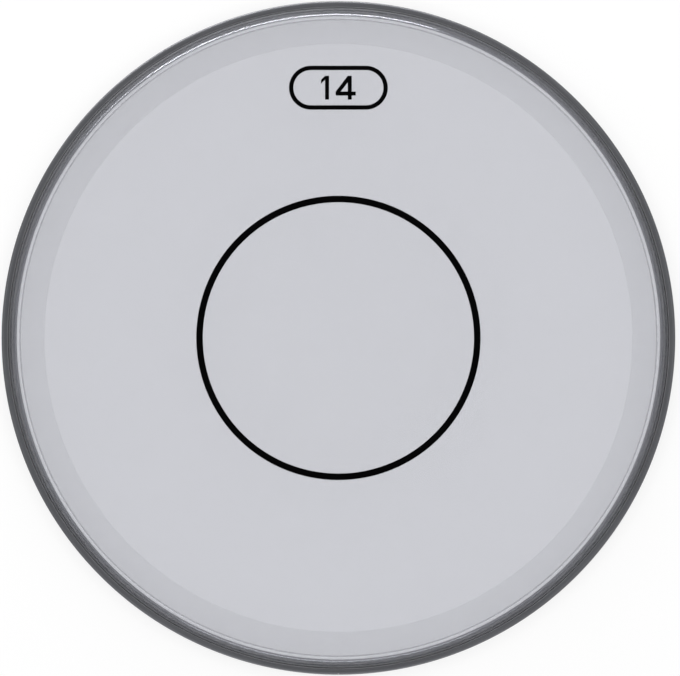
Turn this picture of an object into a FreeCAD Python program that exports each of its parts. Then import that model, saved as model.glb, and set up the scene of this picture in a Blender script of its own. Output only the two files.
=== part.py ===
import FreeCAD
import Part

import math
import os

# A two-ply drum head for a 14 inch drum: film plies whose formed edge is cast with resin
# into a roll-formed aluminium hoop, a damping ring under the edge of the film, and a round
# reinforcing patch at the centre with a printed outline.
# Millimetres. +Z is up, towards the player. The origin is the centre of the hoop's base.

# Drum that the head fits
shell_outer_d = 355.6       # drum shell, 14 inch nominal
shell_clearance = 0.6       # radial gap between the shell and the hoop's bore

# Hoop channel, bent from one strip
hoop_height = 9.5           # base to rim seat
hoop_wall = 0.8             # strip thickness
base_bend_r = 0.4           # inside radius of the two lower bends
crown_bend_r = 0.7          # inside radius of the bend into the rolled-over top
rim_seat_width = 1.88       # flat land on the rolled-over top
inner_wall_drop = 2.3       # inner wall ends this far below the rim seat
seam_gap = 0.1              # between the butted ends of the strip
seam_angle = 270.0          # where the ends meet, in degrees from +X

# Splice that closes the hoop, and the marks where the channel is staked to it
splice_length = 30.0        # along the hoop
splice_t = 1.4
splice_fit = 0.05           # gap between the splice and each channel wall
stake_d = 1.8
stake_depth = 0.3
stake_spacing = 8.0         # from stake to stake, along the hoop
stakes_each_side = 2

# Film
batter_ply_t = 0.178        # 7 mil
backing_ply_t = 0.178       # 7 mil
damping_ring_t = 0.178      # 7 mil
ply_gap = 0.1               # air between one layer of film and the next
film_to_wall = 1.9          # gap between the film and the channel's inner wall
film_to_lip = 0.12          # gap between the film and the rolled-over top
skirt_to_splice = 0.4       # film edge stands this far above the splice

# Collar, the step from the hoop up to the playing surface
collar_run = 8.85           # radial width of the collar, from the hoop to the flat film
collar_angle = 62.0         # slope of the collar, in degrees
collar_top_bend_r = 6.5
collar_foot_bend_r = 3.0
collar_foot_drop = 0.5      # collar starts to lean in this far below the rim seat

# Holes through the film edge, which the resin runs through
anchor_hole_d = 1.6
anchor_hole_count = 72

# Resin
resin_freeboard = 0.5       # resin stops this far below the top of the inner wall

# Damping ring and centre patch
damping_ring_width = 12.3   # flat film that it covers, from the collar inwards
patch_d = 156.0
patch_t = 0.127             # 5 mil
patch_adhesive_t = 0.05
outline_width = 3.45
outline_margin = 0.36       # bare edge of the patch outside the printed outline

# Printed size mark, the nominal diameter in a plain frame
ink_t = 0.03
mark_inset = 24.0           # edge of the damping ring to the centre of the mark
mark_width = 54.0
mark_height = 24.0
mark_stroke = 2.4
digit_height = 13.0
digit_stroke = 2.2
digit_gap = 3.6
one_flag = 2.2              # the one's flag stands out this far from its stem
four_width = 11.0

# Radii and heights that follow
bore_r = shell_outer_d / 2 + shell_clearance
cavity_in_r = bore_r + hoop_wall
backing_ply_depth = batter_ply_t + ply_gap
damping_ring_depth = backing_ply_depth + backing_ply_t + ply_gap
film_stack_t = damping_ring_depth + damping_ring_t
skirt_r = cavity_in_r + film_to_wall + film_stack_t
lip_r = skirt_r + film_to_lip
strip_edge_r = hoop_wall / 2
rim_seat_r = lip_r + strip_edge_r
crown_r = rim_seat_r + rim_seat_width
crown_bend_out_r = crown_bend_r + hoop_wall
crown_z = hoop_height - crown_bend_out_r
hoop_r = crown_r + crown_bend_out_r
cavity_out_r = hoop_r - hoop_wall
base_bend_out_r = base_bend_r + hoop_wall
base_in_r = bore_r + base_bend_out_r
base_out_r = hoop_r - base_bend_out_r
inner_wall_top = hoop_height - inner_wall_drop
resin_top = inner_wall_top - resin_freeboard
splice_top = hoop_wall + splice_t
skirt_end = splice_top + skirt_to_splice
flat_r = skirt_r - collar_run
foot_z = hoop_height - collar_foot_drop
foot_bend_centre_r = skirt_r - collar_foot_bend_r
damping_ring_in_r = flat_r - damping_ring_width
patch_r = patch_d / 2
mark_centre_y = damping_ring_in_r - mark_inset

slope = math.radians(collar_angle)
quarter = math.pi / 2
slope_foot_r = foot_bend_centre_r + collar_foot_bend_r * math.sin(slope)
slope_foot_z = foot_z + collar_foot_bend_r * math.cos(slope)
slope_top_r = flat_r + collar_top_bend_r * math.sin(slope)
slope_top_z = slope_foot_z + (slope_foot_r - slope_top_r) * math.tan(slope)
film_top = slope_top_z + collar_top_bend_r * (1 - math.cos(slope))
patch_bottom = film_top + patch_adhesive_t
patch_top = patch_bottom + patch_t

centre = FreeCAD.Vector(0, 0, 0)
up = FreeCAD.Vector(0, 0, 1)


def at(r, z):
    return FreeCAD.Vector(r, 0, z)


def on_bend(r, z, radius, turn):
    # Point on a bend about (r, z), with turn in radians from straight up towards the outside.
    return at(r + radius * math.sin(turn), z + radius * math.cos(turn))


def closed_wire(start, steps):
    # A step is the end of a line, or the middle and the end of an arc.
    edges = []
    here = start
    for step in steps:
        if isinstance(step, tuple):
            middle, end = step
            edges.append(Part.Arc(here, middle, end).toShape())
        else:
            end = step
            edges.append(Part.LineSegment(here, end).toShape())
        here = end
    if here != start:
        edges.append(Part.LineSegment(here, start).toShape())
    return Part.Wire(edges)


def revolved(start, steps, angle=360.0):
    return Part.Face(closed_wire(start, steps)).revolve(centre, up, angle)


def flat_ring(inner_r, outer_r, bottom, thickness):
    top = bottom + thickness
    return revolved(at(inner_r, bottom), [at(outer_r, bottom), at(outer_r, top), at(inner_r, top)])


def turned(shape, degrees):
    copy = shape.copy()
    copy.rotate(centre, up, degrees)
    return copy


# Hoop

def hoop_channel():
    # The strip's outline runs down the bore, round the outside, and back through the cavity.
    wall_end_z = inner_wall_top - strip_edge_r
    lip_bottom = hoop_height - hoop_wall
    start = at(bore_r, wall_end_z)
    ring = revolved(start, [
        at(bore_r, base_bend_out_r),
        (on_bend(base_in_r, base_bend_out_r, base_bend_out_r, -1.5 * quarter), at(base_in_r, 0)),
        at(base_out_r, 0),
        (on_bend(base_out_r, base_bend_out_r, base_bend_out_r, 1.5 * quarter), at(hoop_r, base_bend_out_r)),
        at(hoop_r, crown_z),
        (on_bend(crown_r, crown_z, crown_bend_out_r, quarter / 2), at(crown_r, hoop_height)),
        at(rim_seat_r, hoop_height),
        (at(lip_r, hoop_height - strip_edge_r), at(rim_seat_r, lip_bottom)),
        at(crown_r, lip_bottom),
        (on_bend(crown_r, crown_z, crown_bend_r, quarter / 2), at(cavity_out_r, crown_z)),
        at(cavity_out_r, base_bend_out_r),
        (on_bend(base_out_r, base_bend_out_r, base_bend_r, 1.5 * quarter), at(base_out_r, hoop_wall)),
        at(base_in_r, hoop_wall),
        (on_bend(base_in_r, base_bend_out_r, base_bend_r, -1.5 * quarter), at(cavity_in_r, base_bend_out_r)),
        at(cavity_in_r, wall_end_z),
        (at(bore_r + strip_edge_r, inner_wall_top), start),
    ])
    gap = Part.makeBox(2 * hoop_r, seam_gap, 3 * hoop_height)
    gap.translate(FreeCAD.Vector(0, -seam_gap / 2, -hoop_height))
    return ring.cut(turned(gap, seam_angle)).cut(stake_marks())


def stake_marks():
    middle_r = (bore_r + hoop_r) / 2
    cone = Part.makeCone(stake_d / 2, 0, stake_depth, at(middle_r, 0), up)
    marks = []
    for number in range(2 * stakes_each_side):
        along = stake_spacing * (number + 0.5 - stakes_each_side)
        marks.append(turned(cone, seam_angle + math.degrees(along / middle_r)))
    return Part.makeCompound(marks)


def hoop_splice():
    inner_r = cavity_in_r + splice_fit
    outer_r = cavity_out_r - splice_fit
    spread = math.degrees(splice_length / ((inner_r + outer_r) / 2))
    block = revolved(at(inner_r + base_bend_r, hoop_wall), [
        at(outer_r - base_bend_r, hoop_wall),
        at(outer_r, hoop_wall + base_bend_r),
        at(outer_r, splice_top),
        at(inner_r, splice_top),
        at(inner_r, hoop_wall + base_bend_r),
    ], spread)
    return turned(block, seam_angle - spread / 2)


# Film

def film_face(depth, inner_r):
    # One face of the film, at a depth below its outer face, from the middle to the skirt's end.
    top_r = collar_top_bend_r - depth
    foot_r = collar_foot_bend_r - depth
    top_z = film_top - collar_top_bend_r
    return [
        at(inner_r, film_top - depth),
        at(flat_r, film_top - depth),
        (on_bend(flat_r, top_z, top_r, slope / 2), on_bend(flat_r, top_z, top_r, slope)),
        on_bend(foot_bend_centre_r, foot_z, foot_r, slope),
        (on_bend(foot_bend_centre_r, foot_z, foot_r, (slope + quarter) / 2), at(skirt_r - depth, foot_z)),
        at(skirt_r - depth, skirt_end),
    ]


def backwards(steps):
    # The same line from its last point to its first.
    ends = [step[1] if isinstance(step, tuple) else step for step in steps]
    line = [ends[-1]]
    for step, end in zip(reversed(steps[1:]), reversed(ends[:-1])):
        line.append((step[0], end) if isinstance(step, tuple) else end)
    return line


def anchor_holes():
    length = 2 * film_stack_t + film_to_wall
    start_r = skirt_r - film_stack_t / 2 - length / 2
    start = at(start_r, (skirt_end + resin_top) / 2)
    hole = Part.makeCylinder(anchor_hole_d / 2, length, start, FreeCAD.Vector(1, 0, 0))
    pitch = 360.0 / anchor_hole_count
    return Part.makeCompound([turned(hole, number * pitch) for number in range(anchor_hole_count)])


def film_layer(depth, thickness, inner_r):
    outer_face = film_face(depth, inner_r)
    inner_face = backwards(film_face(depth + thickness, inner_r))
    return revolved(outer_face[0], outer_face[1:] + inner_face).cut(anchor_holes())


def batter_ply():
    return film_layer(0, batter_ply_t, 0)


def backing_ply():
    return film_layer(backing_ply_depth, backing_ply_t, 0)


def damping_ring():
    return film_layer(damping_ring_depth, damping_ring_t, damping_ring_in_r)


# Resin, which fills the channel round the film, through the anchor holes and over the splice

def resin_fill():
    pour = revolved(at(base_in_r, hoop_wall), [
        at(base_out_r, hoop_wall),
        (on_bend(base_out_r, base_bend_out_r, base_bend_r, 1.5 * quarter), at(cavity_out_r, base_bend_out_r)),
        at(cavity_out_r, resin_top),
        at(cavity_in_r, resin_top),
        at(cavity_in_r, base_bend_out_r),
        (on_bend(base_in_r, base_bend_out_r, base_bend_r, -1.5 * quarter), at(base_in_r, hoop_wall)),
    ])
    skirt = flat_ring(skirt_r - film_stack_t, skirt_r, skirt_end, hoop_height).cut(anchor_holes())
    return pour.cut(skirt).cut(hoop_splice())


# Centre patch and print

def patch_adhesive():
    return Part.makeCylinder(patch_r, patch_adhesive_t, at(0, film_top))


def centre_patch():
    return Part.makeCylinder(patch_r, patch_t, at(0, patch_bottom))


def patch_outline_print():
    outer_r = patch_r - outline_margin
    return flat_ring(outer_r - outline_width, outer_r, patch_top, ink_t)


def on_film(x, y):
    return FreeCAD.Vector(x, mark_centre_y + y, film_top)


def inked(wire):
    return Part.Face(wire).extrude(up * ink_t)


def rounded_bar(width, height):
    # A bar along X with full round ends.
    end_r = height / 2
    half = width / 2 - end_r
    start = on_film(-half, end_r)
    return inked(closed_wire(start, [
        on_film(half, end_r),
        (on_film(half + end_r, 0), on_film(half, -end_r)),
        on_film(-half, -end_r),
        (on_film(-half - end_r, 0), start),
    ]))


def polygon(corners):
    points = [on_film(x, y) for x, y in corners]
    return inked(closed_wire(points[0], points[1:]))


def digit_one(left):
    half = digit_height / 2
    stem = left + one_flag
    right = stem + digit_stroke
    return polygon([
        (stem, -half), (right, -half), (right, half), (stem, half),
        (left, half - one_flag), (left, half - one_flag - digit_stroke), (stem, half - digit_stroke),
    ])


def digit_four(left):
    half = digit_height / 2
    right = left + four_width
    stem_right = right - digit_stroke
    stem_left = stem_right - digit_stroke
    bar_bottom = digit_stroke - half
    bar_top = bar_bottom + digit_stroke
    rise = half - bar_top
    run = stem_left - left
    across = digit_stroke * math.hypot(rise, run)
    solid = polygon([
        (stem_left, -half), (stem_right, -half), (stem_right, bar_bottom), (right, bar_bottom),
        (right, bar_top), (stem_right, bar_top), (stem_right, half), (stem_left, half),
        (left, bar_top), (left, bar_bottom), (stem_left, bar_bottom),
    ])
    window = polygon([
        (stem_left, bar_top), (stem_left, half - across / run), (left + across / rise, bar_top),
    ])
    return solid.cut(window)


def size_mark_print():
    frame = rounded_bar(mark_width, mark_height)
    window = rounded_bar(mark_width - 2 * mark_stroke, mark_height - 2 * mark_stroke)
    one_width = one_flag + digit_stroke
    left = -(one_width + digit_gap + four_width) / 2
    return Part.makeCompound([
        frame.cut(window),
        digit_one(left),
        digit_four(left + one_width + digit_gap),
    ])


pieces = [
    hoop_channel,
    hoop_splice,
    resin_fill,
    batter_ply,
    backing_ply,
    damping_ring,
    patch_adhesive,
    centre_patch,
    patch_outline_print,
    size_mark_print,
]

os.makedirs("parts", exist_ok=True)
for make_piece in pieces:
    shape = make_piece()
    shape.exportStep(f"parts/{make_piece.__name__}.step")
    print(f"{make_piece.__name__}: {len(shape.Solids)} solids, {shape.Volume:.2f} mm3")
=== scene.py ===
import math

import bmesh
import bpy
from mathutils import Matrix, Vector


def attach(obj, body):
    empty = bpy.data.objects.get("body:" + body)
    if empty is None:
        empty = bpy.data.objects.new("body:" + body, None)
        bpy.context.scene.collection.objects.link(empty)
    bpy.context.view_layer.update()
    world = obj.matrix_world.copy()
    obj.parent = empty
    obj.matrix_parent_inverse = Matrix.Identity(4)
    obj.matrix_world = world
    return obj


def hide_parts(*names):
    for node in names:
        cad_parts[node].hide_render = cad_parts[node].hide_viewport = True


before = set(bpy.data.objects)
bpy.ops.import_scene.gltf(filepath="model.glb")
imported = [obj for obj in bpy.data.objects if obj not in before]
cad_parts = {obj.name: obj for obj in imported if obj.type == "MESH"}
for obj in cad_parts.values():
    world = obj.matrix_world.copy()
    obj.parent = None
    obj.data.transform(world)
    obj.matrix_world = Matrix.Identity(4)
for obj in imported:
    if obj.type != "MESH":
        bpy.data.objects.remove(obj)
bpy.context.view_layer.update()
print("frame loaded with", len(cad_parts), "nodes")

mm = 0.001
fullTurn = 2 * math.pi
mergeDistance = 0.001 * mm
longEdge = 10 * mm                           # flat stretches past this length are divided before a spin
sharpAngle = math.radians(35)
noiseSpan = (0.3, 0.7)                       # nearly all of a noise lies between these values
scene = bpy.context.scene
scene.view_settings.view_transform = "Standard"
scene.cycles.transparent_max_bounces = 48    # the film lies in several see-through layers


class Wire:                                  # a shader socket that takes part in arithmetic
    def __init__(self, tree, socket=None):
        self.tree = tree
        self.socket = socket

    def plug(self, socket, value):
        if isinstance(value, Wire):
            self.tree.links.new(value.socket, socket)
        else:
            socket.default_value = value

    def node(self, kind, settings=None, sockets=None, out=0):
        made = self.tree.nodes.new(kind)
        for name, value in (settings or {}).items():
            setattr(made, name, value)
        for name, value in (sockets or {}).items():
            self.plug(made.inputs[name], value)
        return Wire(self.tree, made.outputs[out] if made.outputs else None)

    def outlet(self, out):                   # another output of the same node
        return Wire(self.tree, self.socket.node.outputs[out])

    def maths(self, operation, first, second=0.0):
        return self.node("ShaderNodeMath", {"operation": operation}, {0: first, 1: second})

    def __add__(self, other):
        return self.maths("ADD", self, other)

    def __radd__(self, other):
        return self.maths("ADD", other, self)

    def __sub__(self, other):
        return self.maths("SUBTRACT", self, other)

    def __rsub__(self, other):
        return self.maths("SUBTRACT", other, self)

    def __mul__(self, other):
        return self.maths("MULTIPLY", self, other)

    def __rmul__(self, other):
        return self.maths("MULTIPLY", other, self)

    def __truediv__(self, other):
        return self.maths("DIVIDE", self, other)

    def sheen(self):                         # rises towards a grazing view, from either side of a face
        facing = self.node("ShaderNodeLayerWeight", None, {"Blend": 0.5}, "Facing")
        return self.maths("POWER", facing, 5.0)

    def step(self, low, high):               # 0 below low, 1 above high, smooth between
        return self.node("ShaderNodeMapRange", {"interpolation_type": "SMOOTHSTEP"},
                         {"Value": self, "From Min": low, "From Max": high})

    def blend(self, first, second):          # a colour between two others
        return self.node("ShaderNodeMix", {"data_type": "RGBA"}, {0: self, 6: first, 7: second}, 2)


def newMaterial(name):
    material = bpy.data.materials.new(name)
    material.use_nodes = True
    material.node_tree.nodes.clear()
    return material, Wire(material.node_tree)


def showShader(wire, shader):
    wire.node("ShaderNodeOutputMaterial", None, {"Surface": shader})


def grey(level):
    return (level, level, level, 1)


def spotOn(wire):                            # where on the piece, in object coordinates
    return wire.node("ShaderNodeTexCoord", out="Object")


def aboutAxis(wire):                         # x, y, z and the distance from the head's axis, in metres
    x = wire.node("ShaderNodeSeparateXYZ", None, {0: spotOn(wire)})
    y = x.outlet(1)
    return x, y, x.outlet(2), wire.maths("SQRT", x * x + y * y)


def noiseOn(wire, scale, detail):
    return wire.node("ShaderNodeTexNoise", None, {"Vector": spotOn(wire), "Scale": scale, "Detail": detail})


def roundStreaks(wire, fine, length):        # noise drawn out along circles about the axis
    x, y, z, radius = aboutAxis(wire)
    along = wire.node("ShaderNodeCombineXYZ", None,
                      {0: x / radius * length, 1: y / radius * length, 2: z * fine})
    return wire.node("ShaderNodeTexNoise", {"noise_dimensions": "4D"},
                     {"Vector": along, "W": radius * fine, "Scale": 1.0, "Detail": 4.0, "Roughness": 0.6})


def unevenVeil(veil, spread, mottle):        # a veil that the mottle makes a little denser or thinner
    return veil * (1 - spread / 2 + spread * mottle)


def addBump(wire, height, strength, depth):  # depth in mm
    return wire.node("ShaderNodeBump", None,
                     {"Strength": strength, "Distance": depth * mm, "Height": height})


def drawSection(bm, corners, closed=True, segments=6):     # corners are radius, height and rounding in mm
    verts = [bm.verts.new((radius * mm, 0, height * mm)) for radius, height, rounding in corners]
    following = verts[1:] + (verts[:1] if closed else [])
    for first, second in zip(verts, following):
        bm.edges.new((first, second))
    for vert, (radius, height, rounding) in zip(verts, corners):
        if rounding:
            bmesh.ops.bevel(bm, geom=[vert], offset=rounding * mm, offset_type="OFFSET", affect="VERTICES",
                            segments=segments, profile=0.5, material=-1)


def divideFlat(bm, rings):                   # the flat gets rings of edges, for shading that stays even
    flat = [edge for edge in bm.edges if edge.calc_length() > longEdge]
    bmesh.ops.subdivide_edges(bm, edges=flat, cuts=rings)


def spinSection(bm, steps, turn=fullTurn):
    bmesh.ops.spin(bm, geom=bm.verts[:] + bm.edges[:] + bm.faces[:], cent=(0, 0, 0), axis=(0, 0, 1),
                   dvec=(0, 0, 0), angle=turn, steps=steps, use_merge=turn == fullTurn, use_duplicate=False)
    bmesh.ops.remove_doubles(bm, verts=bm.verts[:], dist=mergeDistance)
    bmesh.ops.recalc_face_normals(bm, faces=bm.faces[:])


def addPiece(name, bm, material, node):
    mesh = bpy.data.meshes.new(name)
    bm.to_mesh(mesh)
    bm.free()
    mesh.polygons.foreach_set("use_smooth", [True] * len(mesh.polygons))
    mesh.set_sharp_from_angle(angle=sharpAngle)
    mesh.materials.append(material)
    piece = bpy.data.objects.new(name, mesh)
    scene.collection.objects.link(piece)
    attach(piece, "root")
    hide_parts(node)
    print(name, "has", len(mesh.polygons), "faces")
    return piece


# Hoop, one strip rolled into a channel, its ends butted at the front
hoop = {
    "bore": 178.4, "outside": 185.734, "height": 9.5, "strip": 0.8,
    "lip": 181.954, "innerWallTop": 7.2, "baseBend": 1.2, "crownBend": 1.5,
    "edgeFlat": 0.005,                       # left straight between the two rounds of a cut edge
    "seam": 0.1, "steps": 360,
    "stakes": [-12, -4, 4, 12],              # places along the strip from its seam
    "stakeWidth": 1.8, "stakeDepth": 0.3, "stakeSides": 24,
    "tones": [(0.105, 0.107, 0.116, 1), (0.150, 0.153, 0.164, 1)],
    "fineLines": (5200, 3), "broadLines": (900, 7), "fineShare": 0.6, "lineSpan": (0.32, 0.68),
    "roughness": 0.34, "roughSpread": 0.12, "bump": 0.25, "bumpDepth": 0.02,
    "bare": (0.60, 0.605, 0.615, 1),         # painted highlight: the strip's rounded cut edges painted brighter than its faces
    "bareLip": 0.8, "lipBand": (0.1, 0.5), "lipDrop": (1.0, 0.6),
    "bareWall": 0.4, "wallBand": (0.7, 0.9), "wallDrop": (0.5, 0.2),
}


def cutEdge(wire, inner, top, band, drop):   # 1 on a cut edge, fading outwards and downwards in mm
    height, radius = aboutAxis(wire)[2:]
    inside = 1 - (radius / mm).step(inner + band[0], inner + band[1])
    return inside * (height / mm).step(top - drop[0], top - drop[1])


def hoopFinish():
    material, wire = newMaterial("hoopMetal")
    fine = roundStreaks(wire, *hoop["fineLines"])
    broad = roundStreaks(wire, *hoop["broadLines"])
    lines = fine * hoop["fineShare"] + broad * (1 - hoop["fineShare"])
    lip = cutEdge(wire, hoop["lip"], hoop["height"], hoop["lipBand"], hoop["lipDrop"])
    wall = cutEdge(wire, hoop["bore"], hoop["innerWallTop"], hoop["wallBand"], hoop["wallDrop"])
    # painted highlight: a lighter colour on the lip and on the top edge of the inner wall
    cut = wire.maths("MAXIMUM", lip * hoop["bareLip"], wall * hoop["bareWall"])
    shader = wire.node("ShaderNodeBsdfPrincipled", None, {
        "Base Color": cut.blend(lines.step(*hoop["lineSpan"]).blend(*hoop["tones"]), hoop["bare"]),
        "Metallic": 1.0, "Roughness": hoop["roughness"] + hoop["roughSpread"] * broad,
        "Normal": addBump(wire, fine, hoop["bump"], hoop["bumpDepth"])})
    showShader(wire, shader)
    return material


def makeHoop(material):
    strip = hoop["strip"]
    edge = strip / 2 - hoop["edgeFlat"]      # the strip's two cut edges are rolled round
    bm = bmesh.new()
    drawSection(bm, [
        (hoop["bore"], hoop["innerWallTop"], edge),
        (hoop["bore"], 0, hoop["baseBend"]),
        (hoop["outside"], 0, hoop["baseBend"]),
        (hoop["outside"], hoop["height"], hoop["crownBend"]),
        (hoop["lip"], hoop["height"], edge),
        (hoop["lip"], hoop["height"] - strip, edge),
        (hoop["outside"] - strip, hoop["height"] - strip, hoop["crownBend"] - strip),
        (hoop["outside"] - strip, strip, hoop["baseBend"] - strip),
        (hoop["bore"] + strip, strip, hoop["baseBend"] - strip),
        (hoop["bore"] + strip, hoop["innerWallTop"], edge),
    ])
    bmesh.ops.remove_doubles(bm, verts=bm.verts[:], dist=mergeDistance)
    bmesh.ops.contextual_create(bm, geom=bm.edges[:])
    gap = hoop["seam"] / hoop["outside"]
    start = Matrix.Rotation(gap / 2 - math.pi / 2, 3, "Z")
    bmesh.ops.rotate(bm, verts=bm.verts[:], cent=(0, 0, 0), matrix=start)
    spinSection(bm, hoop["steps"], fullTurn - gap)
    return addPiece("hoop", bm, material, "hoop_channel")


def stakeHoop(piece):                        # centre-punch marks that fix the strip to the splice inside
    bm = bmesh.new()
    middle = (hoop["bore"] + hoop["outside"]) / 2
    for along in hoop["stakes"]:
        spin = Matrix.Rotation(along / middle - math.pi / 2, 4, "Z")
        lift = Matrix.Translation((middle * mm, 0, 0))
        bmesh.ops.create_cone(bm, cap_ends=True, segments=hoop["stakeSides"],
                              radius1=hoop["stakeWidth"] * mm, radius2=0,
                              depth=2 * hoop["stakeDepth"] * mm, matrix=spin @ lift)
    mesh = bpy.data.meshes.new("stakes")
    bm.to_mesh(mesh)
    bm.free()
    punch = bpy.data.objects.new("stakes", mesh)
    scene.collection.objects.link(punch)
    cut = piece.modifiers.new("stakes", "BOOLEAN")
    cut.operation = "DIFFERENCE"
    cut.solver = "EXACT"
    cut.object = punch
    shaped = bpy.data.meshes.new_from_object(piece.evaluated_get(bpy.context.evaluated_depsgraph_get()))
    piece.modifiers.clear()
    piece.data = shaped
    bpy.data.objects.remove(punch)
    print("hoop staked,", len(shaped.polygons), "faces")


hoopMetal = hoopFinish()
stakeHoop(makeHoop(hoopMetal))


# Resin in the channel, with a slot for the film and a little meniscus at each wall
resin = {
    "inside": 179.21, "outside": 184.924, "bottom": 0.81, "top": 6.7,
    "climb": 0.16, "climbRun": 0.48,         # the meniscus, up the wall and away from it
    "slotInside": 181.09, "slotOutside": 181.844, "slotEnd": 2.59,
    "corner": 0.4, "dish": 0.25, "steps": 288,
    "tones": [(0.050, 0.051, 0.055, 1), (0.080, 0.082, 0.088, 1)],
    "cloudScale": 260.0, "cloudDetail": 5.0, "bubbleScale": 900.0, "bubbleSpan": (0.12, 0.3),
    "roughness": 0.38, "roughSpread": 0.3, "bump": 0.4, "bumpDepth": 0.1,
}


def resinFinish():
    material, wire = newMaterial("castResin")
    cloud = noiseOn(wire, resin["cloudScale"], resin["cloudDetail"])
    cells = wire.node("ShaderNodeTexVoronoi", None, {"Vector": spotOn(wire), "Scale": resin["bubbleScale"]})
    relief = cloud * 0.5 + cells.step(*resin["bubbleSpan"]) * 0.5
    shader = wire.node("ShaderNodeBsdfPrincipled", None, {
        "Base Color": cloud.step(*noiseSpan).blend(*resin["tones"]),
        "Roughness": resin["roughness"] + resin["roughSpread"] * cloud,
        "Normal": addBump(wire, relief, resin["bump"], resin["bumpDepth"])})
    showShader(wire, shader)
    return material


def makeResin(material):
    top, run, dish = resin["top"], resin["climbRun"], resin["dish"]
    brim = top + resin["climb"]
    bm = bmesh.new()
    drawSection(bm, [
        (resin["inside"], brim, 0),
        (resin["inside"], resin["bottom"], resin["corner"]),
        (resin["outside"], resin["bottom"], resin["corner"]),
        (resin["outside"], brim, 0),
        (resin["outside"] - run, top, dish),
        (resin["slotOutside"] + run, top, dish),
        (resin["slotOutside"], brim, 0),
        (resin["slotOutside"], resin["slotEnd"], 0),
        (resin["slotInside"], resin["slotEnd"], 0),
        (resin["slotInside"], brim, 0),
        (resin["slotInside"] - run, top, dish),
        (resin["inside"] + run, top, dish),
    ])
    spinSection(bm, resin["steps"])
    return addPiece("resin", bm, material, "resin_fill")


makeResin(resinFinish())


# Film, three layers of one form: skirt, collar and flat
film = {
    "skirt": 181.834, "skirtEnd": 2.6, "flat": 172.984, "slope": 62, "footHeight": 9.0,
    "footBend": 3.0, "topBend": 6.5, "bendSteps": 14, "layer": 0.178, "air": 0.1,
    "ringInside": 160.684, "steps": 288, "rings": 8,
    "smoke": [(0.157, 0.160, 0.177, 1), (0.187, 0.191, 0.209, 1)],
    "veil": 0.108, "through": (0.985, 0.987, 1.0, 1),
    "clear": [(0.19, 0.194, 0.205, 1), (0.23, 0.234, 0.245, 1)],
    "ringVeil": 0.054, "ringThrough": (1, 1, 1, 1), "veilSpread": 0.12, "sheen": 0.5,
    # painted shade: a denser, darker ring of film along the start of the collar's bend
    "bendShadeRadius": 174.05, "bendShadeCore": 0.1, "bendShadeWidth": 0.70, "bendShade": 0.12,
    "frostAndPaintedLight": 0.22, "frostAndLightBand": (179.7, 180.8),            # roughened where the resin grips it, and painted paler there: painted light that lifts the shade in the hoop's channel
    "paintedFootLight": (0.28, 0.283, 0.296, 1), "frostRough": 0.25,
    "mottleScale": 38.0, "mottleDetail": 4.0, "dustScale": 1700.0, "dustDetail": 2.0,
    "roughness": 0.12, "dustRough": 0.06, "metallic": 0.5, "index": 1.5, "gloss": 1.0,
    "coatRoughness": 0.15, "coatIndex": 1.7,
}


def filmFinish(name, tints, through, veil, bendShade):
    material, wire = newMaterial(name)
    radius = aboutAxis(wire)[3] / mm
    mottle = noiseOn(wire, film["mottleScale"], film["mottleDetail"])
    dust = noiseOn(wire, film["dustScale"], film["dustDetail"])
    offBendShade = wire.maths("ABSOLUTE", radius - film["bendShadeRadius"])
    # painted shade along the start of the collar's bend
    bendShadeLine = (1 - offBendShade.step(film["bendShadeCore"], film["bendShadeWidth"])) * bendShade
    # frost and painted light: a rougher surface, and a paler colour that lifts the channel's shade
    frostAndPaintedLight = radius.step(*film["frostAndLightBand"])
    surface = wire.node("ShaderNodeBsdfPrincipled", None, {
        "Base Color": frostAndPaintedLight.blend(mottle.step(*noiseSpan).blend(*tints), film["paintedFootLight"]),
        "Roughness": film["roughness"] + film["dustRough"] * dust + film["frostRough"] * frostAndPaintedLight,
        "Metallic": film["metallic"], "IOR": film["index"], "Specular IOR Level": film["gloss"],
        "Coat Weight": 1.0, "Coat Roughness": film["coatRoughness"], "Coat IOR": film["coatIndex"]})
    seeThrough = wire.node("ShaderNodeBsdfTransparent", None, {"Color": through})
    haze = unevenVeil(veil, film["veilSpread"], mottle) + bendShadeLine + frostAndPaintedLight * film["frostAndPaintedLight"]
    cover = haze + film["sheen"] * wire.sheen()
    showShader(wire, wire.node("ShaderNodeMixShader", None, {0: cover, 1: seeThrough, 2: surface}))
    return material


def filmLine(depth, inner):                  # the film's outline at a depth under its outer face
    slope = math.radians(film["slope"])
    footRadius = film["skirt"] - film["footBend"] + film["footBend"] * math.sin(slope)
    footHeight = film["footHeight"] + film["footBend"] * math.cos(slope)
    topRadius = film["flat"] + film["topBend"] * math.sin(slope)
    top = footHeight + (footRadius - topRadius) * math.tan(slope) + film["topBend"] * (1 - math.cos(slope))
    reach = footRadius * math.sin(slope) + footHeight * math.cos(slope) - depth
    side = film["skirt"] - depth
    return [
        (inner, top - depth, 0),
        ((reach - (top - depth) * math.cos(slope)) / math.sin(slope), top - depth,
         (film["topBend"] - depth) * math.tan(slope / 2)),
        (side, (reach - side * math.sin(slope)) / math.cos(slope),
         (film["footBend"] - depth) * math.tan(math.pi / 4 - slope / 2)),
        (side, film["skirtEnd"], 0),
    ]


def makeFilm(name, material, node, depth, inner):
    bm = bmesh.new()
    drawSection(bm, filmLine(depth, inner), closed=False, segments=film["bendSteps"])
    divideFlat(bm, film["rings"])
    spinSection(bm, film["steps"])
    if sum(face.normal.z for face in bm.faces) < 0:
        bmesh.ops.reverse_faces(bm, faces=bm.faces[:])
    bmesh.ops.solidify(bm, geom=bm.faces[:], thickness=film["layer"] * mm)
    return addPiece(name, bm, material, node)


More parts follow.
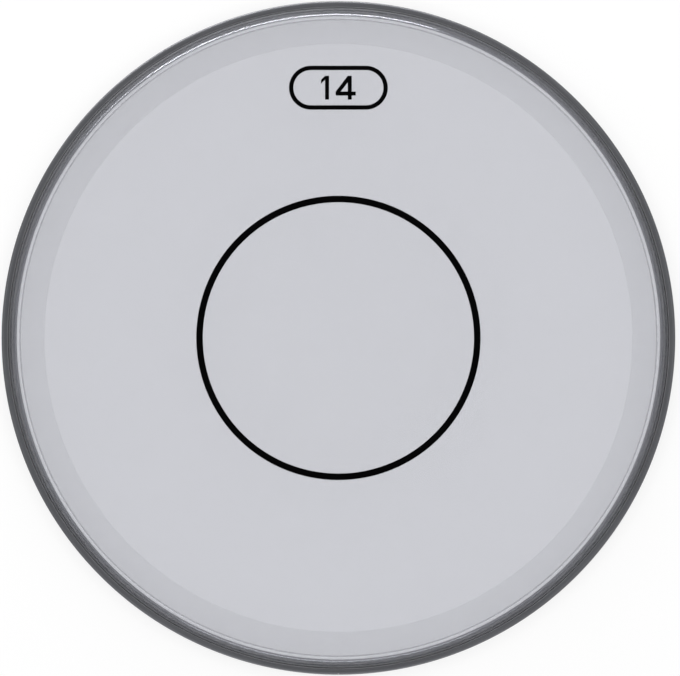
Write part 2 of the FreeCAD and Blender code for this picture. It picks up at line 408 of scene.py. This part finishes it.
smokeFilm = filmFinish("smokeFilm", film["smoke"], film["through"], film["veil"], film["bendShade"])
ringFilm = filmFinish("ringFilm", film["clear"], film["ringThrough"], film["ringVeil"], 0.0)
pitch = film["layer"] + film["air"]
makeFilm("batterPly", smokeFilm, "batter_ply", 0, 0)
makeFilm("backingPly", smokeFilm, "backing_ply", pitch, 0)
makeFilm("dampingRing", ringFilm, "damping_ring", 2 * pitch, film["ringInside"])
filmTop = filmLine(0, 0)[0][1]
print("film top at", round(filmTop, 3), "mm")


# Patch at the centre and its adhesive
patch = {
    "radius": 78.0, "layer": 0.127, "edgeRound": 0.01, "edgeSteps": 2, "steps": 256, "rings": 5,
    "adhesive": 0.05, "adhesiveInset": 0.05,
    "apart": 0.012,                          # keeps one clear face off the next
    "clear": [(0.24, 0.242, 0.25, 1), (0.28, 0.282, 0.29, 1)], "veilSpread": 0.4,
    "veil": 0.004, "sheen": 0.2, "adhesiveVeil": 0.001, "adhesiveSheen": 0.02,
    "mottleScale": 60.0, "mottleDetail": 4.0, "roughness": 0.05, "roughSpread": 0.03,
}


def clearFinish(name, veil, sheen):
    material, wire = newMaterial(name)
    mottle = noiseOn(wire, patch["mottleScale"], patch["mottleDetail"])
    shader = wire.node("ShaderNodeBsdfPrincipled", None, {
        "Base Color": mottle.step(*noiseSpan).blend(*patch["clear"]),
        "Roughness": patch["roughness"] + patch["roughSpread"] * mottle,
        "Alpha": unevenVeil(veil, patch["veilSpread"], mottle) + sheen * wire.sheen()})
    showShader(wire, shader)
    return material


def makeDisc(name, material, node, radius, low, high):
    bm = bmesh.new()
    drawSection(bm, [(0, low, 0), (radius, low, 0), (radius, high, patch["edgeRound"]), (0, high, 0)],
                closed=False, segments=patch["edgeSteps"])
    divideFlat(bm, patch["rings"])
    spinSection(bm, patch["steps"])
    return addPiece(name, bm, material, node)


patchLow = filmTop + patch["adhesive"]
patchTop = patchLow + patch["layer"]
clearAdhesive = clearFinish("clearAdhesive", patch["adhesiveVeil"], patch["adhesiveSheen"])
patchFilm = clearFinish("patchFilm", patch["veil"], patch["sheen"])
makeDisc("patchAdhesive", clearAdhesive, "patch_adhesive",
         patch["radius"] - patch["adhesiveInset"], filmTop + patch["apart"], patchLow - patch["apart"])
makeDisc("centrePatch", patchFilm, "centre_patch", patch["radius"], patchLow, patchTop)


# Printed outline on the patch
ink = {
    "layer": 0.03, "lift": 0.004,            # the lift keeps its underside off the clear face below
    "lineOutside": 77.66, "lineWidth": 3.60, "edgeRound": 0.012, "edgeSteps": 2, "steps": 360,
    "tones": [(0.0003, 0.0003, 0.0004, 1), (0.0008, 0.0008, 0.0010, 1)],
    "grainScale": 1400.0, "densityScale": 90.0, "detail": 3.0,
    "roughness": 0.5, "roughSpread": 0.16, "gloss": 0.02, "bump": 0.3, "bumpDepth": 0.01,
}


def inkFinish():
    material, wire = newMaterial("printInk")
    grain = noiseOn(wire, ink["grainScale"], ink["detail"])
    density = noiseOn(wire, ink["densityScale"], ink["detail"])
    shader = wire.node("ShaderNodeBsdfPrincipled", None, {
        "Base Color": density.step(*noiseSpan).blend(*ink["tones"]),
        "Roughness": ink["roughness"] + ink["roughSpread"] * grain, "Specular IOR Level": ink["gloss"],
        "Normal": addBump(wire, grain, ink["bump"], ink["bumpDepth"])})
    showShader(wire, shader)
    return material


def makeOutline(material):
    bm = bmesh.new()
    low, high = patchTop + ink["lift"], patchTop + ink["layer"]
    outside = ink["lineOutside"]
    inside = outside - ink["lineWidth"]
    drawSection(bm, [(inside, low, 0), (outside, low, 0), (outside, high, ink["edgeRound"]),
                     (inside, high, ink["edgeRound"])], segments=ink["edgeSteps"])
    spinSection(bm, ink["steps"])
    return addPiece("patchOutline", bm, material, "patch_outline_print")


printInk = inkFinish()
makeOutline(printInk)


# Size mark, the nominal diameter in a plain frame
mark = {
    "middle": 136.684, "width": 54, "height": 24, "stroke": 2.4,
    "endSteps": 16, "endGap": 0.001,         # the gap keeps the two rounds of an end from meeting
    "digitHeight": 13, "digitStroke": 2.2, "digitGap": 3.6, "flag": 2.2, "fourWidth": 11,
}


def drawOutline(bm, corners):                # closed line on the film, in mm about the mark's middle
    height = (filmTop + ink["lift"]) * mm
    verts = [bm.verts.new((x * mm, (mark["middle"] + y) * mm, height)) for x, y in corners]
    return [bm.edges.new(pair) for pair in zip(verts, verts[1:] + verts[:1])]


def drawFrame(bm):
    wide, tall = mark["width"] / 2, mark["height"] / 2
    for inset in (0, mark["stroke"]):
        edges = drawOutline(bm, [(inset - wide, inset - tall), (wide - inset, inset - tall),
                                 (wide - inset, tall - inset), (inset - wide, tall - inset)])
        ends = {vert for edge in edges for vert in edge.verts}
        rounding = tall - inset - mark["endGap"]
        bmesh.ops.bevel(bm, geom=list(ends), offset=rounding * mm, offset_type="OFFSET", affect="VERTICES",
                        segments=mark["endSteps"], profile=0.5, material=-1)


def drawOne(bm, left):
    half, stroke, flag = mark["digitHeight"] / 2, mark["digitStroke"], mark["flag"]
    stem = left + flag
    drawOutline(bm, [(stem, -half), (stem + stroke, -half), (stem + stroke, half), (stem, half),
                     (left, half - flag), (left, half - flag - stroke), (stem, half - stroke)])


def drawFour(bm, left):
    half, stroke = mark["digitHeight"] / 2, mark["digitStroke"]
    right = left + mark["fourWidth"]
    stemRight = right - stroke
    stemLeft = stemRight - stroke
    barLow = stroke - half
    barHigh = barLow + stroke
    rise, run = half - barHigh, stemLeft - left
    across = stroke * math.hypot(rise, run)
    drawOutline(bm, [(stemLeft, -half), (stemRight, -half), (stemRight, barLow), (right, barLow),
                     (right, barHigh), (stemRight, barHigh), (stemRight, half), (stemLeft, half),
                     (left, barHigh), (left, barLow), (stemLeft, barLow)])
    drawOutline(bm, [(stemLeft, barHigh), (stemLeft, half - across / run), (left + across / rise, barHigh)])


def makeMark(material):
    bm = bmesh.new()
    oneWidth = mark["flag"] + mark["digitStroke"]
    left = -(oneWidth + mark["digitGap"] + mark["fourWidth"]) / 2
    shapes = [drawFrame, lambda sheet: drawOne(sheet, left),
              lambda sheet: drawFour(sheet, left + oneWidth + mark["digitGap"])]
    for drawShape in shapes:
        known = set(bm.edges)
        drawShape(bm)
        drawn = [edge for edge in bm.edges if edge not in known]
        bmesh.ops.triangle_fill(bm, use_beauty=True, use_dissolve=False, edges=drawn)
    bmesh.ops.remove_doubles(bm, verts=bm.verts[:], dist=mergeDistance)
    bmesh.ops.recalc_face_normals(bm, faces=bm.faces[:])
    raised = bmesh.ops.extrude_face_region(bm, geom=bm.faces[:], use_keep_orig=True)
    verts = [item for item in raised["geom"] if isinstance(item, bmesh.types.BMVert)]
    bmesh.ops.translate(bm, verts=verts, vec=(0, 0, (ink["layer"] - ink["lift"]) * mm))
    bmesh.ops.recalc_face_normals(bm, faces=bm.faces[:])
    return addPiece("sizeMark", bm, material, "size_mark_print")


makeMark(printInk)


# Splice inside the hoop keeps its solid and takes the strip's finish
splice = bpy.data.objects["hoop_splice"]
splice.data.materials.clear()
splice.data.materials.append(hoopMetal)
print("splice dressed")


# Table top that runs out to the horizon, in metres
table = {"reach": 30.0, "drop": 0.0001, "shade": 0.25, "seen": 0.76, "lit": 0.8}


def tableFinish():
    material, wire = newMaterial("tableTop")
    direct = wire.node("ShaderNodeLightPath", out="Is Camera Ray")
    passed = wire.maths("MAXIMUM", direct.outlet("Is Glossy Ray"), direct.outlet("Is Transmission Ray"))
    glow = wire.node("ShaderNodeEmission", None, {"Color": grey(1), "Strength": table["seen"]})
    shade = wire.node("ShaderNodeBsdfDiffuse", None, {"Color": grey(table["shade"])})
    plain = wire.node("ShaderNodeBsdfDiffuse", None, {"Color": grey(table["lit"])})
    shown = wire.node("ShaderNodeAddShader", None, {0: glow, 1: shade})
    seen = wire.maths("MAXIMUM", direct, passed)
    showShader(wire, wire.node("ShaderNodeMixShader", None, {0: seen, 1: plain, 2: shown}))
    return material


def makeTable(material):
    bm = bmesh.new()
    bmesh.ops.create_grid(bm, x_segments=4, y_segments=4, size=table["reach"],
                          matrix=Matrix.Translation((0, 0, -table["drop"])))
    mesh = bpy.data.meshes.new("tableTop")
    bm.to_mesh(mesh)
    bm.free()
    mesh.materials.append(material)
    piece = bpy.data.objects.new("tableTop", mesh)
    scene.collection.objects.link(piece)


makeTable(tableFinish())
print("table made")


# Studio: an even dome, brighter part of the way up, and strips of light low down, in metres and watts
studio = {
    "dome": 0.62, "band": 1.1, "bandRise": 0.74, "bandCore": 0.02, "bandWidth": 0.16,
    "far": 1.5, "aim": 0.015,                # how far out the strips hang, and the height that they face
    "strips": [
        {"name": "backStrip", "turn": 99, "rise": 0.115, "wide": 1.5, "tall": 0.24, "power": 20},
        {"name": "leftStrip", "turn": 131, "rise": 0.07, "wide": 0.55, "tall": 0.13, "power": 2.6},
        {"name": "frontStrip", "turn": 268, "rise": 0.075, "wide": 1.5, "tall": 0.14, "power": 4.2},
    ],
}


def lightDome():
    world = bpy.data.worlds.new("studio")
    world.use_nodes = True
    world.node_tree.nodes.clear()
    wire = Wire(world.node_tree)
    way = wire.node("ShaderNodeTexCoord", out="Generated")
    rise = wire.node("ShaderNodeSeparateXYZ", None, {0: way}, 2)
    offBand = wire.maths("ABSOLUTE", rise - studio["bandRise"])
    band = 1 - offBand.step(studio["bandCore"], studio["bandWidth"])
    level = studio["dome"] + studio["band"] * band
    dome = wire.node("ShaderNodeBackground", None, {"Color": grey(1), "Strength": level})
    backdrop = wire.node("ShaderNodeBackground", None, {"Color": grey(1), "Strength": 1.0})
    seen = wire.node("ShaderNodeLightPath", out="Is Camera Ray")
    shown = wire.node("ShaderNodeMixShader", None, {0: seen, 1: dome, 2: backdrop})
    wire.node("ShaderNodeOutputWorld", None, {"Surface": shown})
    scene.world = world


def hangStrip(strip):
    light = bpy.data.lights.new(strip["name"], "AREA")
    light.shape = "RECTANGLE"
    light.size = strip["wide"]
    light.size_y = strip["tall"]
    light.energy = strip["power"]
    turn = math.radians(strip["turn"])
    lamp = bpy.data.objects.new(strip["name"], light)
    lamp.location = (studio["far"] * math.cos(turn), studio["far"] * math.sin(turn), strip["rise"])
    towards = Vector((0, 0, studio["aim"])) - lamp.location
    lamp.rotation_euler = towards.to_track_quat("-Z", "Y").to_euler()
    scene.collection.objects.link(lamp)


lightDome()
for strip in studio["strips"]:
    hangStrip(strip)
print("studio lit")


# Camera straight above, upper edge of the picture towards +Y
eye = {"height": 1.2, "aside": (0.00087, -0.00005), "lens": 114.45, "sensor": 36, "sight": 200}
camera = bpy.data.cameras.new("above")
camera.lens = eye["lens"]
camera.sensor_width = eye["sensor"]
camera.clip_end = eye["sight"]
above = bpy.data.objects.new("above", camera)
above.location = (*eye["aside"], eye["height"])
scene.collection.objects.link(above)
scene.camera = above
